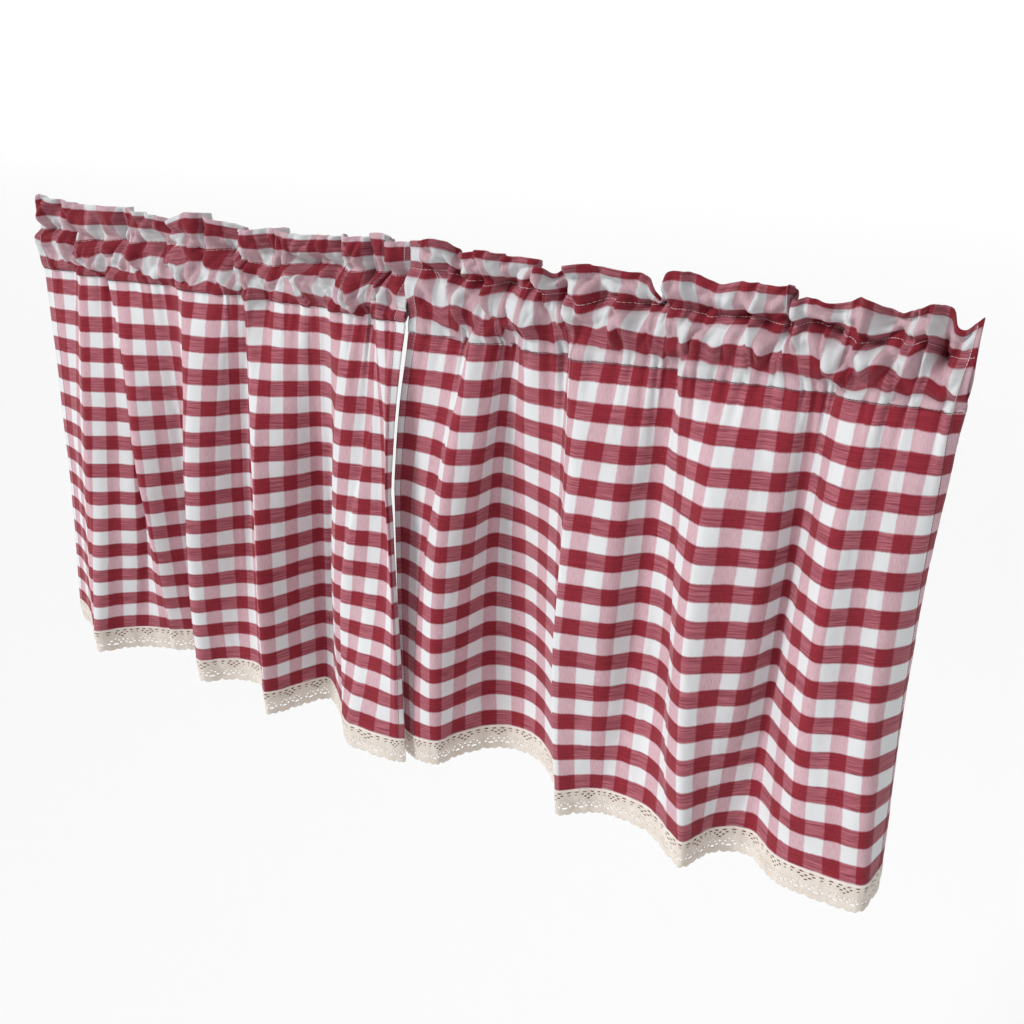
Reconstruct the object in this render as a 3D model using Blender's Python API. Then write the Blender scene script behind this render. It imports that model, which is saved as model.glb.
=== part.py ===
# A pair of short gathered curtain panels that share one rod as a window valance.
# Each panel has a ruffled heading over an open rod pocket, a folded body and a lace hem.
# +X runs along the rod, -Y faces the room, +Z is up. The origin is the middle of the top edge.

import bpy
import bmesh
from collections import namedtuple
from math import hypot

MM = 0.001

# Driving sizes, in metres
PANEL_FLAT = 0.799                     # width of one panel laid flat
CLOTH = 0.0015                         # sheet thickness
GAP = 0.0003                           # clearance between touching pieces
LACE_TALL = 0.032                      # hem to the tips of the lace
FOOT_HOLD = 0.3                        # share of the pocket in which the foot's waves die out
EVENING = 0.5                          # how far the heading evens out the gathers of its foot

# Heights, in metres
HEM = -0.564
LACE_TIPS = HEM - LACE_TALL
FOLD_TOP = -0.080                      # the three levels at which the folds are measured
FOLD_MIDDLE = -0.267
FOLD_HEM = HEM

# Each panel's lower stitch line, at the foot of the pocket, and its upper one
Stitching = namedtuple("Stitching", "foot ruffle")
STITCHING_LEFT = Stitching(-0.075, -0.030)
STITCHING_RIGHT = Stitching(-0.086, -0.031)

# Mesh density
BODY_STEPS = 76
BODY_ROWS = 6
HEADING_STEPS = 54
SHARP_ANGLE = 0.9                      # edges sharper than this are not shaded smooth, radians

# One row for each crest or hollow of a fold, in millimetres. "cloth" is the distance
# across the flat panel from its left edge, x and y are where that thread hangs.
Fold = namedtuple("Fold", "cloth top_x top_y mid_x mid_y hem_x hem_y")

FOLDS_LEFT = [
    Fold(0, -577, -4, -584, -16, -622, -24),       # outer edge, set back
    Fold(20, -558, -8, -564, -20, -604, -28),
    Fold(57, -514, -9, -533, -27, -571, -42),
    Fold(110, -474, -11, -500, -44, -519, -71),    # first crest
    Fold(131, -452, -6, -474, -26, -500, -52),
    Fold(168, -396, -11, -426, -20, -473, -31),
    Fold(205, -372, -5, -404, -33, -440, -15),     # slanting crease
    Fold(242, -352, -10, -378, -16, -408, 0),
    Fold(268, -336, -3, -360, 0, -390, 5),         # hollow
    Fold(316, -284, -7, -312, -38, -350, -41),
    Fold(332, -270, -10, -298, -42, -335, -48),    # second crest
    Fold(353, -250, -8, -278, -32, -315, -33),
    Fold(390, -217, -6, -256, -6, -281, -16),
    Fold(425, -200, 2, -240, 2, -250, -18),        # hollow
    Fold(489, -188, -9, -198, -40, -210, -57),     # third crest
    Fold(501, -178, -8, -187, -35, -200, -51),
    Fold(538, -144, -3, -161, -12, -182, -24),
    Fold(575, -120, 6, -143, 14, -164, 3),
    Fold(589, -106, 7, -133, 18, -154, 8),         # hollow
    Fold(612, -86, -6, -106, 2, -122, -3),
    Fold(643, -56, -4, -70, -27, -92, -28),
    Fold(682, -30, -5, -42, -19, -64, -50),        # fourth crest
    Fold(723, -6, -8, -14, -15, -32, -48),
    Fold(760, 12, -10, -4, -26, -2, -45),
    Fold(799, 26, -7, 0, -38, 13, -43),            # inner edge
]

FOLDS_RIGHT = [
    Fold(0, 31, -2, -14, 3, 3, -24),               # inner edge
    Fold(20, 42, 1, -4, 8, 9, -29),
    Fold(57, 68, 4, 37, 1, 22, -32),
    Fold(94, 88, 1, 65, -11, 46, -27),             # first crest
    Fold(131, 104, 5, 87, 8, 58, 0),
    Fold(168, 116, 12, 93, 42, 80, 32),
    Fold(205, 142, 9, 123, 43, 112, 47),           # deep hollow
    Fold(242, 186, 2, 163, 30, 146, 41),
    Fold(279, 224, -4, 194, 12, 188, 9),
    Fold(337, 238, -7, 211, -15, 216, -29),        # second crest
    Fold(357, 260, -5, 234, -14, 230, -24),
    Fold(390, 290, -3, 267, -5, 252, -6),
    Fold(427, 308, 6, 291, 18, 276, 3),
    Fold(464, 334, 2, 323, 9, 314, -1),            # hollow
    Fold(501, 370, -6, 347, -15, 351, -26),
    Fold(517, 384, -7, 359, -18, 363, -31),        # third crest
    Fold(538, 399, -3, 381, -6, 371, -14),
    Fold(575, 424, 0, 413, 8, 383, 9),
    Fold(612, 442, 8, 427, 33, 414, 23),           # hollow
    Fold(649, 464, 3, 448, 16, 443, 4),
    Fold(686, 492, 0, 472, -1, 470, -2),           # fourth crest
    Fold(723, 514, 5, 497, 14, 506, -1),
    Fold(760, 540, 4, 523, 21, 535, 5),
    Fold(782, 556, 2, 539, 36, 540, 29),           # turned back
    Fold(799, 566, 0, 542, 52, 541, 46),           # outer edge
]

# The top edge of each heading: its sway towards the back and its height, in millimetres
Ruffle = namedtuple("Ruffle", "cloth sway rise")

RUFFLES_LEFT = [
    Ruffle(0, -3, 16),
    Ruffle(55, 5, 17),
    Ruffle(110, -7, 13),
    Ruffle(155, 4, 12),
    Ruffle(205, -6, 12),
    Ruffle(265, 5, 11),
    Ruffle(315, -8, 5),
    Ruffle(385, 2, 15),
    Ruffle(430, -6, 8),
    Ruffle(512, 6, 2),
    Ruffle(562, -6, 6),
    Ruffle(617, 5, 5),
    Ruffle(667, -6, 7),
    Ruffle(727, 5, 8),
    Ruffle(799, -4, 10),
]

RUFFLES_RIGHT = [
    Ruffle(0, 3, 6),
    Ruffle(30, -6, 3),
    Ruffle(72, 5, 15),
    Ruffle(120, -6, 5),
    Ruffle(170, 5, 6),
    Ruffle(215, -7, 2),
    Ruffle(258, 6, -9),
    Ruffle(337, -6, -1),
    Ruffle(392, 4, 3),
    Ruffle(442, -3, -9),
    Ruffle(469, 6, 1),
    Ruffle(517, -6, -3),
    Ruffle(562, 4, 0),
    Ruffle(597, -7, 3),
    Ruffle(647, 5, -10),
    Ruffle(692, -6, -4),
    Ruffle(737, 6, -8),
    Ruffle(772, -5, -3),
    Ruffle(799, 3, -12),
]

# Half sections of the heading. "climb" is 0 at the lower stitch line, 1 at the upper one and
# 2 at the top edge, and depth is half of the thickness there, in millimetres.
Profile = namedtuple("Profile", "climb depth")

HEADING_OUTSIDE = [
    Profile(0, 1.2),
    Profile(0.1, 5.5),
    Profile(0.29, 11.5),
    Profile(0.54, 13),
    Profile(0.79, 10),
    Profile(0.98, 2.2),
    Profile(1.31, 1.6),
    Profile(2, 1.5),
]

POCKET_INSIDE = [
    Profile(0.09, 1.8),
    Profile(0.29, 9.9),
    Profile(0.54, 11.5),
    Profile(0.79, 8.4),
    Profile(0.88, 3),
]

CLOTH_COLOURS = {"rosy": (0.62, 0.24, 0.29, 1), "cream": (0.78, 0.70, 0.57, 1)}


def through_rows(rows, column, cloth):
    """A smooth curve through one column of a table, at a distance across the cloth."""
    last = len(rows) - 2
    index = 0
    while index < last and rows[index + 1].cloth < cloth:
        index += 1

    def slope(knot):
        before = rows[max(knot - 1, 0)]
        after = rows[min(knot + 1, last + 1)]
        return (getattr(after, column) - getattr(before, column)) / (after.cloth - before.cloth)

    start = rows[index]
    end = rows[index + 1]
    span = end.cloth - start.cloth
    t = (cloth - start.cloth) / span
    from_start = (1 + 2 * t) * (1 - t) ** 2 * getattr(start, column)
    from_end = t * t * (3 - 2 * t) * getattr(end, column)
    bend = t * (1 - t) ** 2 * slope(index) - t * t * (1 - t) * slope(index + 1)
    return from_start + from_end + bend * span


def between_levels(z, top, middle, hem):
    """The parabola through the values at the three levels."""
    over_top = z - FOLD_TOP
    over_middle = z - FOLD_MIDDLE
    over_hem = z - FOLD_HEM
    a = over_middle * over_hem / ((FOLD_TOP - FOLD_MIDDLE) * (FOLD_TOP - FOLD_HEM))
    b = over_top * over_hem / ((FOLD_MIDDLE - FOLD_TOP) * (FOLD_MIDDLE - FOLD_HEM))
    c = over_top * over_middle / ((FOLD_HEM - FOLD_TOP) * (FOLD_HEM - FOLD_MIDDLE))
    return a * top + b * middle + c * hem


def hung_point(folds, cloth, z):
    """Where the thread at this distance across the flat cloth hangs at height z."""
    level = min(max(z, FOLD_HEM), FOLD_TOP)
    at = []
    for axis in "xy":
        values = [through_rows(folds, f"{name}_{axis}", cloth / MM) for name in ("top", "mid", "hem")]
        at.append(between_levels(level, *values) * MM)
    return at


def hung_normal(folds, cloth, z):
    """The level direction square to the cloth."""
    step = 2 * MM
    before = hung_point(folds, max(cloth - step, 0), z)
    after = hung_point(folds, min(cloth + step, PANEL_FLAT), z)
    run_x = after[0] - before[0]
    run_y = after[1] - before[1]
    length = hypot(run_x, run_y)
    return -run_y / length, run_x / length


def finish_object(name, bm, colour):
    """Turn the mesh into a named object with its own cloth material."""
    bmesh.ops.recalc_face_normals(bm, faces=bm.faces)
    mesh = bpy.data.meshes.new(name)
    bm.to_mesh(mesh)
    bm.free()
    mesh.shade_smooth()
    mesh.set_sharp_from_angle(angle=SHARP_ANGLE)
    material = bpy.data.materials.new(f"{name}_cloth")
    material.use_nodes = True
    shader = material.node_tree.nodes["Principled BSDF"]
    shader.inputs["Base Color"].default_value = CLOTH_COLOURS[colour]
    shader.inputs["Roughness"].default_value = 0.9
    shader.inputs["Metallic"].default_value = 0
    mesh.materials.append(material)
    piece = bpy.data.objects.new(name, mesh)
    bpy.context.collection.objects.link(piece)


def hung_sheet(name, folds, upper, lower, rows, colour):
    """A flat strip of cloth, cut between two heights and hung in the folds of its panel."""
    bm = bmesh.new()
    grid = bmesh.ops.create_grid(bm, x_segments=BODY_STEPS, y_segments=rows, size=0.5)
    for vert in grid["verts"]:
        cloth = (vert.co.x + 0.5) * PANEL_FLAT
        z = lower + (vert.co.y + 0.5) * (upper - lower)
        vert.co = (cloth, -CLOTH / 2, z)
    front = set(bm.verts)
    bmesh.ops.extrude_face_region(bm, geom=bm.faces[:])
    for vert in set(bm.verts) - front:
        vert.co.y = CLOTH / 2
    for vert in bm.verts:
        cloth, offset, z = vert.co
        x, y = hung_point(folds, cloth, z)
        normal_x, normal_y = hung_normal(folds, cloth, z)
        vert.co = (x + normal_x * offset, y + normal_y * offset, z)
    finish_object(name, bm, colour)


def heading_point(folds, ruffles, stitching, cloth, climb, depth):
    """A point of the heading, at a share of the climb to its top edge and a signed depth."""
    foot_x, foot_y = hung_point(folds, cloth, stitching.foot)
    sway = through_rows(ruffles, "sway", cloth / MM) * MM
    rise = through_rows(ruffles, "rise", cloth / MM) * MM
    hung_width = (folds[-1].top_x - folds[0].top_x) * MM
    even_x = folds[0].top_x * MM + cloth / PANEL_FLAT * hung_width
    in_pocket = min(climb, 1)
    stand = max(climb - 1, 0)
    x = foot_x + (even_x - foot_x) * in_pocket * EVENING
    held = max(1 - climb / FOOT_HOLD, 0)
    y = foot_y * held + sway * stand + depth
    bottom = stitching.foot + GAP
    z = bottom + (stitching.ruffle - bottom) * in_pocket + (rise - stitching.ruffle) * stand
    return x, y, z


def heading_skin(bm, folds, ruffles, stitching, section):
    """A tube of cloth along the heading, from a half section mirrored front to back."""
    front = [(row.climb, -row.depth * MM) for row in section]
    back = [(row.climb, row.depth * MM) for row in reversed(section)]
    ring = front + back
    ring.append(ring[0])
    grid = bmesh.ops.create_grid(bm, x_segments=HEADING_STEPS, y_segments=len(ring) - 1, size=0.5)
    for vert in grid["verts"]:
        cloth = (vert.co.x + 0.5) * PANEL_FLAT
        climb, depth = ring[round((vert.co.y + 0.5) * (len(ring) - 1))]
        vert.co = heading_point(folds, ruffles, stitching, cloth, climb, depth)
    bmesh.ops.remove_doubles(bm, verts=grid["verts"], dist=GAP / 10)


def heading(name, folds, ruffles, stitching):
    """The double-layer heading with its rod pocket open at both ends."""
    bm = bmesh.new()
    heading_skin(bm, folds, ruffles, stitching, HEADING_OUTSIDE)
    heading_skin(bm, folds, ruffles, stitching, POCKET_INSIDE)
    rims = [edge for edge in bm.edges if edge.is_boundary]
    middle = (folds[0].top_x + folds[-1].top_x) / 2 * MM
    for side in (-1, 1):
        end = [edge for edge in rims if (edge.verts[0].co.x - middle) * side > 0]
        bmesh.ops.triangle_fill(bm, edges=end, use_beauty=True, normal=(side, 0, 0))
    finish_object(name, bm, "rosy")


for thing in list(bpy.data.objects):
    bpy.data.objects.remove(thing)

for side, folds, ruffles, stitching in (
    ("left", FOLDS_LEFT, RUFFLES_LEFT, STITCHING_LEFT),
    ("right", FOLDS_RIGHT, RUFFLES_RIGHT, STITCHING_RIGHT),
):
    heading(f"heading_{side}", folds, ruffles, stitching)
    hung_sheet(f"panel_{side}", folds, stitching.foot, HEM, BODY_ROWS, "rosy")
    hung_sheet(f"lace_{side}", folds, HEM - GAP, LACE_TIPS, 1, "cream")
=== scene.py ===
# Looks of a window valance: two gathered gingham panels with lace hems, side by side on one unseen rod
# +X runs along the rod, -Y faces the room, +Z is up, in metres. Fold tables are in millimetres.

import random
from functools import lru_cache
from math import exp, hypot, pi, radians, sin

import bmesh
import bpy
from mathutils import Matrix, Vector, noise


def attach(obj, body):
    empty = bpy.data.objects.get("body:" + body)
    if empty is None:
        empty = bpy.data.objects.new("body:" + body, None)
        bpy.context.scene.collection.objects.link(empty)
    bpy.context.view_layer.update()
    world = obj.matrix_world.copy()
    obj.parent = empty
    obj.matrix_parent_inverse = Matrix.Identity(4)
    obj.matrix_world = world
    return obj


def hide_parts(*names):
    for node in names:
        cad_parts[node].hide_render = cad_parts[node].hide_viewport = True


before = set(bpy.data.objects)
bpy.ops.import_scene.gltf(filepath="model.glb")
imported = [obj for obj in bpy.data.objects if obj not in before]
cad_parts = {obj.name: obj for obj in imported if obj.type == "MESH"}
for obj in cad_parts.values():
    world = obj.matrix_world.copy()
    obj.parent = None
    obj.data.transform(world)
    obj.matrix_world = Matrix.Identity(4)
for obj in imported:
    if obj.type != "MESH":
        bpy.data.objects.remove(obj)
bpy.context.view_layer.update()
mm = 0.001

print("stage 1: tables")

cloth = {
    "hem": -0.564,            # height of the hem, where the lace starts
    "foldTop": -0.080,        # the three heights at which the folds are given
    "foldMiddle": -0.267,
    "thickness": 0.0007,
    "sideHem": 0.011,         # width of the turned side hems
    "hemBehind": 1.3,         # how far a turned side hem lies behind the cloth, in mm
    "hemRidge": 0.35,         # how far the cloth stands out over it, in mm
    "hemRun": 0.0012,         # the run of both steps
    "turnBehind": 0.5,        # how far the turned lower hem lies behind the lace, in mm
}

# The folds at three heights: distance across the flat cloth, then x and y. The first and last rows are
# the side edges
foldsLeft = {
    "top": [
        (0, -583, -4), (11, -567, -5), (29, -548, -3), (48, -525, 1), (85, -500, -12), (103, -486, -10),
        (122, -468, -6), (140, -456, 0), (185, -440, -12), (196, -427, -12), (214, -408, -7), (233, -388, -6),
        (251, -373, -5), (270, -353, -1), (284, -337, 2), (303, -313, -11), (325, -289, -11), (344, -268, -8),
        (362, -249, -3), (381, -241, -2), (399, -231, 2), (418, -218, 5), (473, -200, -14), (492, -183, 1),
        (510, -169, -1), (529, -152, -3), (547, -133, 0), (566, -120, 0), (584, -105, 3), (591, -98, 4),
        (600, -83, -6), (621, -64, -7), (640, -49, -3), (658, -36, 2), (677, -31, 5), (732, -16, -10),
        (751, -2, -10), (769, 10, -9), (781, 23, -7),
    ],
    "middle": [
        (0, -584, -16), (20, -564, -20), (57, -533, -27), (92, -500, -44), (103, -487, -40),
        (122, -469, -33), (140, -456, -26), (159, -438, -20), (177, -434, -13), (205, -410, -33),
        (214, -401, -31), (233, -386, -22), (251, -374, -12), (268, -362, -1), (284, -348, -3),
        (316, -312, -38), (332, -298, -42), (353, -278, -32), (390, -256, -6), (425, -240, 2),
        (489, -193, -40), (501, -183, -35), (538, -160, -12), (575, -143, 14), (589, -133, 18),
        (597, -127, 20), (602, -121, 17), (617, -93, -13), (624, -86, -20), (643, -72, -26),
        (682, -42, -19), (723, -14, -15), (760, -5, -26), (769, -5, -24), (781, -4, -18),
    ],
    "hem": [
        (0, -622, -24), (20, -604, -28), (57, -571, -42), (110, -519, -71), (131, -500, -52),
        (168, -473, -31), (205, -440, -15), (242, -408, 0), (268, -390, 5), (316, -345, -41),
        (332, -330, -48), (353, -311, -33), (390, -280, -16), (425, -250, -18), (489, -203, -59),
        (501, -194, -53), (538, -180, -25), (575, -163, 6), (589, -153, 9), (605, -139, 2),
        (640, -113, -17), (680, -82, -41), (701, -66, -54), (714, -51, -54), (732, -27, -53),
        (751, -5, -50), (769, 6, -47), (781, 12, -43),
    ],
}
foldsRight = {
    "top": [
        (0, 25, -4), (11, 35, -4), (29, 54, -2), (48, 73, 3), (66, 86, 5), (85, 95, 7), (103, 104, -4),
        (122, 121, -1), (140, 132, 4), (159, 136, 9), (177, 146, 10), (196, 153, 5), (214, 164, -6),
        (233, 183, -6), (251, 199, -1), (270, 209, 5), (312, 220, -10), (325, 233, -9), (344, 252, -3),
        (362, 269, -1), (381, 280, 1), (399, 295, 3), (418, 306, 5), (436, 319, 8), (448, 330, -8),
        (473, 344, -8), (492, 361, -6), (510, 375, -4), (529, 391, -2), (547, 405, 0), (566, 420, 1),
        (584, 434, 1), (603, 443, 3), (621, 454, 6), (640, 461, 8), (658, 470, 1), (677, 486, -1),
        (695, 498, -1), (714, 508, 2), (732, 521, 3), (751, 529, 4), (769, 546, 3), (788, 555, 0),
        (799, 563, 8),
    ],
    "middle": [
        (0, -16, 3), (20, -4, 8), (57, 37, 1), (94, 65, -11), (131, 87, 8), (168, 93, 42),
        (205, 123, 43), (242, 163, 30), (279, 194, 12), (337, 213, -15), (344, 222, -14), (362, 240, -11),
        (390, 267, -5), (427, 291, 18), (464, 323, 9), (501, 347, -15), (517, 359, -18), (538, 381, -6),
        (575, 413, 8), (612, 427, 33), (649, 448, 16), (686, 472, -1), (723, 497, 14), (760, 523, 21),
        (782, 539, 36), (799, 542, 52),
    ],
    "hem": [
        (0, -5, -24), (20, 7, -29), (57, 22, -32), (94, 46, -27), (131, 58, 0), (168, 80, 32),
        (205, 112, 47), (242, 146, 41), (279, 188, 9), (337, 211, -29), (357, 225, -20), (390, 247, -3),
        (427, 272, 2), (464, 311, -2), (501, 351, -26), (517, 363, -31), (538, 371, -14), (575, 383, 9),
        (612, 414, 23), (649, 443, 4), (686, 470, -2), (723, 506, -1), (760, 535, 5), (782, 540, 29),
        (799, 541, 46),
    ],
}

# The frill over the pocket: distance across the flat cloth, x, sway towards the back, height of the top edge
frillLeft = [
    (0, -577, -1, 13), (20, -568, -2, 17), (29, -560, 2, 19), (38, -551, 5, 14), (48, -541, 4, 13),
    (66, -512, 6, 8), (94, -509, 0, 9), (122, -502, -6, 14), (140, -474, -6, 11), (159, -448, -4, 12),
    (177, -420, 0, 11), (196, -405, 5, 10), (210, -399, 4, 11), (233, -395, -5, 12), (251, -377, -3, 10),
    (270, -351, 1, 6), (284, -330, 7, 0), (291, -322, 0, -1), (297, -315, -7, 3), (307, -293, -8, 12),
    (316, -281, -8, 15), (325, -270, -5, 14), (335, -267, 3, 12), (344, -265, -3, 12), (362, -237, 1, 6),
    (381, -214, 7, 1), (395, -213, 3, 0), (444, -208, -4, 0), (455, -200, -7, 1), (473, -177, -3, 3),
    (492, -164, 3, 4), (510, -147, 6, 4), (520, -146, 0, 4), (529, -144, -7, 5), (547, -124, -6, 3),
    (566, -99, -3, 2),
    (584, -79, 1, 2), (598, -65, 6, 2), (611, -65, 2, 3), (623, -64, -4, 4), (640, -52, -5, 4),
    (658, -31, -1, 5), (668, -22, 5, 5), (677, -21, -3, 9), (695, -3, -2, 10), (723, 0, 5, 4),
    (751, 2, -4, 3), (765, 18, 2, 3), (781, 33, 7, 3),
]
frillRight = [
    (0, 33, -2, 6), (11, 48, -4, 8), (29, 62, -4, 11), (40, 72, -1, 8), (48, 80, 3, 2),
    (57, 84, 6, -2), (66, 88, 3, -2), (85, 98, -2, 0), (103, 117, 1, 2), (112, 118, 4, 1),
    (122, 119, -5, 6), (140, 128, -3, 5), (159, 140, 1, 1), (177, 148, 3, -1), (196, 166, 2, -1),
    (214, 176, 4, -2), (223, 179, 0, -3), (233, 182, -7, -4), (249, 191, -8, -5), (260, 196, 0, -11),
    (268, 199, 3, -11), (279, 203, 5, -7), (288, 209, 0, -3), (297, 219, -7, 1), (307, 229, -6, 2),
    (325, 247, -3, 1), (344, 267, 0, -3), (362, 282, 3, -4), (372, 290, 5, -9), (381, 297, 5, -19),
    (390, 302, 4, -26), (397, 305, 3, -21), (404, 310, -2, -8), (418, 317, -6, 3), (436, 330, -6, 5),
    (455, 340, -2, 2), (473, 359, 2, -5), (492, 376, 1, -2), (510, 391, -1, -2), (529, 399, 2, -3),
    (547, 415, 1, -2), (556, 418, 5, -4), (566, 419, -8, 1), (575, 421, 3, -7), (584, 424, -5, -10),
    (603, 437, -4, -8), (621, 455, 1, -12), (631, 464, 3, -11), (640, 472, -4, -6), (649, 480, -6, -2),
    (658, 488, -1, -6),
    (677, 503, 6, -15), (695, 517, 1, -9), (704, 521, -2, -7), (714, 526, -7, -4), (730, 533, -7, -1),
    (740, 537, -3, -2), (748, 541, 2, -3), (754, 546, 4, -6), (760, 550, 1, -17), (768, 556, 0, -20),
    (781, 562, 0, -15), (799, 567, 1, -10),
]

# Height of the upper stitch line along the rod: x, z
stitchesLeft = [
    (-590, -27), (-536, -26), (-503, -33), (-450, -30), (-395, -27), (-340, -27), (-275, -26),
    (-225, -28), (-190, -36), (-165, -36), (-135, -32), (-80, -28), (-58, -32), (-28, -29),
    (9, -31), (32, -30),
]
stitchesRight = [
    (30, -21), (70, -22), (88, -28), (145, -27), (172, -25), (195, -30), (232, -32), (254, -29),
    (283, -32), (322, -29), (350, -34), (385, -32), (416, -34), (446, -28), (463, -34), (484, -40),
    (503, -34), (517, -37), (530, -32), (543, -42), (568, -38),
]

# Gathers between the lobes of the pocket: x at the upper stitch line, x at the lower one,
# how deep the pinch is (1 is down to the rod) and how far the lobe on its left droops there
pinchesLeft = [
    (-512, -503, 0.8, 3), (-454, -450, 0.6, 4), (-398, -392, 0.45, 3), (-345, -318, 0.9, 6),
    (-274, -246, 0.7, 5), (-234, -212, 0.8, 5), (-200, -196, 0.6, 4), (-137, -113, 0.9, 5),
    (-95, -80, 0.5, 4), (-58, -36, 0.9, 6), (-16, -8, 0.6, 3),
]
pinchesRight = [
    (72, 90, 0.8, 8), (112, 145, 1, 7), (141, 152, 0.5, 3), (168, 162, 0.7, 4), (188, 203, 0.6, 3),
    (208, 218, 0.5, 3), (263, 272, 0.55, 2), (289, 297, 0.4, 2), (312, 310, 1, 5), (345, 350, 0.3, 1),
    (384, 393, 0.55, 3), (420, 412, 0.9, 4), (449, 452, 0.6, 2), (476, 470, 0.65, 2), (509, 510, 0.6, 2),
    (530, 521, 0.9, 3), (543, 551, 1, 2),
]

# Folds of the frill that turn back out of sight: cloth from, cloth to, depth
tucksLeft = [
    (60, 124, 13), (204, 235, 8), (326, 348, 5), (390, 452, 13), (506, 531, 6), (596, 642, 9),
    (655, 692, 6), (720, 754, 9),
]
tucksRight = [
    (98, 124, 8), (150, 166, 3), (212, 236, 7), (238, 262, 4), (274, 291, 5), (374, 411, 6),
    (438, 452, 3), (500, 516, 3), (550, 586, 10), (590, 606, 4), (636, 653, 5), (700, 716, 4),
]

# Pressed-over pleats of the body: cloth at the three heights, then how far they stand out there
pleatsLeft = [
    (88, 96, 108, 0, 3, 4),
    (186, 204, 214, 2, 6, 4),
    (304, 320, 320, 1, 2, 2),
    (734, 676, 676, 0, 3, 3),
]
pleatsRight = [
    (104, 70, 50, 2, 3, 1),
    (449, 470, 492, 2, 2, 1),
    (660, 640, 600, 1, 1, 1),
]

# Half section of the heading up to the upper stitch line: share of the cloth, share of the climb, depth
pocketLeft = [
    (0, 0, 1.2), (0.05, 0.03, 1.9), (0.13, 0.11, 4.0), (0.32, 0.3, 8.6), (0.54, 0.54, 11.8),
    (0.76, 0.79, 10.0), (0.92, 0.94, 4.4), (1, 1, 1.4),
]
pocketRight = [
    (0, 0, 1.2), (0.05, 0.045, 1.5), (0.13, 0.13, 2.2), (0.32, 0.33, 4.8), (0.54, 0.55, 9.4),
    (0.76, 0.78, 10.2), (0.92, 0.94, 4.8), (1, 1, 1.4),
]

# flatWidth is one panel laid flat, side to side. foot is the height of the lower stitch line, and footWeave
# where that line lies on the weave. pocketCloth and topCloth are the cloth from the foot to the upper stitch
# line and to the top edge. bulges are where the cloth swings out above the hem: the place on the cloth, how
# wide that is, and how far it moves along the rod. mouth is how far the pocket stays open at its right end
panels = {
    "left": {
        "flatWidth": 0.781, "foot": -0.075, "footWeave": -0.0657, "pocketCloth": 0.054, "topCloth": 0.099,
        "bulges": [(489, 60, 4.0), (781, 66, 9.0)], "mouth": 0.8, "seed": 11, "folds": foldsLeft,
        "frill": frillLeft, "stitches": stitchesLeft, "pinches": pinchesLeft, "pocket": pocketLeft,
        "pleats": pleatsLeft, "tucks": tucksLeft,
    },
    "right": {
        "flatWidth": 0.799, "foot": -0.086, "footWeave": -0.0817, "pocketCloth": 0.061, "topCloth": 0.098,
        "bulges": [(0, 60, 5.5)], "mouth": 0.5, "seed": 23, "folds": foldsRight,
        "frill": frillRight, "stitches": stitchesRight, "pinches": pinchesRight, "pocket": pocketRight,
        "pleats": pleatsRight, "tucks": tucksRight,
    },
}


def smooth(t):
    t = min(max(t, 0), 1)
    return t * t * (3 - 2 * t)


def alongRows(rows, column, at):
    # A smooth curve through one column of a table, read at a value of its first column
    last = len(rows) - 2
    index = 0
    while index < last and rows[index + 1][0] < at:
        index += 1

    def slope(knot):
        before = rows[max(knot - 1, 0)]
        after = rows[min(knot + 1, last + 1)]
        return (after[column] - before[column]) / (after[0] - before[0])

    start = rows[index]
    end = rows[index + 1]
    span = end[0] - start[0]
    t = min(max((at - start[0]) / span, 0), 1)
    bend = t * (1 - t) ** 2 * slope(index) - t * t * (1 - t) * slope(index + 1)
    return (1 + 2 * t) * (1 - t) ** 2 * start[column] + t * t * (3 - 2 * t) * end[column] + bend * span


@lru_cache(maxsize=None)
def threadRow(side, table, column, at):
    return alongRows(panels[side][table], column, at)


@lru_cache(maxsize=None)
def foldRow(side, name, column, at):
    return alongRows(panels[side]["folds"][name], column, at)


def betweenLevels(z, top, middle, hem):
    # The parabola through the values at the three heights
    overTop = z - cloth["foldTop"]
    overMiddle = z - cloth["foldMiddle"]
    overHem = z - cloth["hem"]
    spanA = cloth["foldTop"] - cloth["foldMiddle"]
    spanB = cloth["foldMiddle"] - cloth["hem"]
    a = overMiddle * overHem / (spanA * (spanA + spanB))
    b = overTop * overHem / (-spanA * spanB)
    c = overTop * overMiddle / ((spanA + spanB) * spanB)
    return a * top + b * middle + c * hem


def hungPoint(side, across, z):
    # Where a thread of the panel hangs: distance across the flat cloth and height, in metres
    level = min(max(z, cloth["hem"]), cloth["foldTop"])
    at = min(max(across, 0), panels[side]["flatWidth"]) / mm
    x = betweenLevels(level, *[foldRow(side, name, 1, at) for name in ("top", "middle", "hem")])
    y = betweenLevels(level, *[foldRow(side, name, 2, at) for name in ("top", "middle", "hem")])
    low = (cloth["foldMiddle"] - level) / (cloth["foldMiddle"] - cloth["hem"])
    if 0 < low < 1:
        for crest, wide, much in panels[side]["bulges"]:
            x += much * sin(pi * low) ** 0.8 * smooth(1 - abs(at - crest) / wide)
    return x * mm, y * mm


def hungNormal(side, across, z):
    # The level direction square to the cloth, pointing into the room
    step = 2 * mm
    before = hungPoint(side, max(across - step, 0), z)
    after = hungPoint(side, min(across + step, panels[side]["flatWidth"]), z)
    runX = after[0] - before[0]
    runY = after[1] - before[1]
    length = hypot(runX, runY)
    return runY / length, -runX / length


print("stage 2: gingham panels")

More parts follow.
